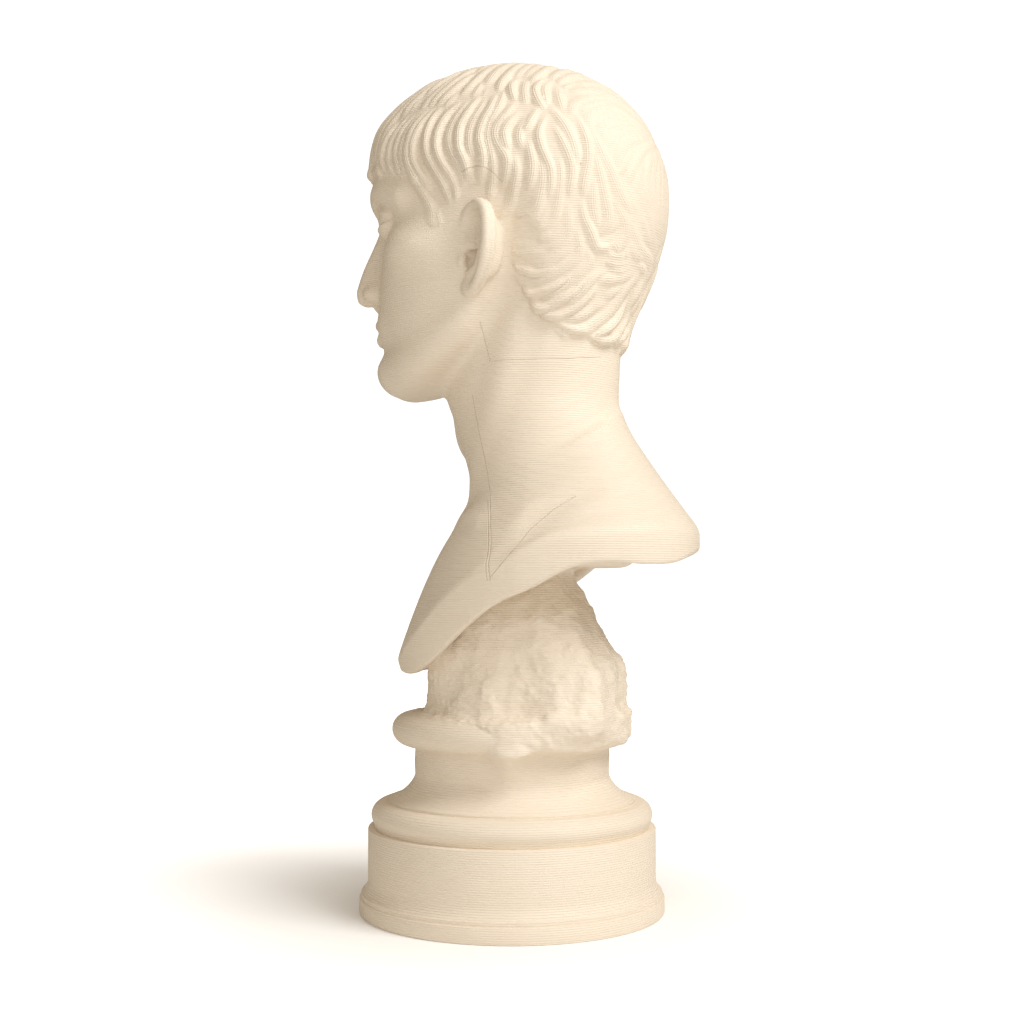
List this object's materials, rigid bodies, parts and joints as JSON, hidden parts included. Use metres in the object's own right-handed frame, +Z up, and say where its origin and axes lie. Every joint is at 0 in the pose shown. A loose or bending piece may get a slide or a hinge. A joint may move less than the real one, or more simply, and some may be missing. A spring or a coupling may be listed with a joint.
{
  "type": "portrait bust",
  "caption": "Desk-size printed copy of a classical portrait bust: head with combed hair, bare neck and cut chest on a rough support and a turned round base.",
  "frame": {"origin": "centre of the round base's underside, on the base's axis; the chest overhangs further behind than in front, so this isn't the middle of the whole outline", "axes": "+Z up through the crown of the head, -Y the way the face looks, +X towards the figure's left side"},
  "size_m": [0.0562, 0.0642, 0.1551],
  "materials": {
    "plastic": "matt ivory with fine level layer lines"
  },
  "bodies": {
    "root": {"bust": "plastic"}
  },
  "joints": []
}
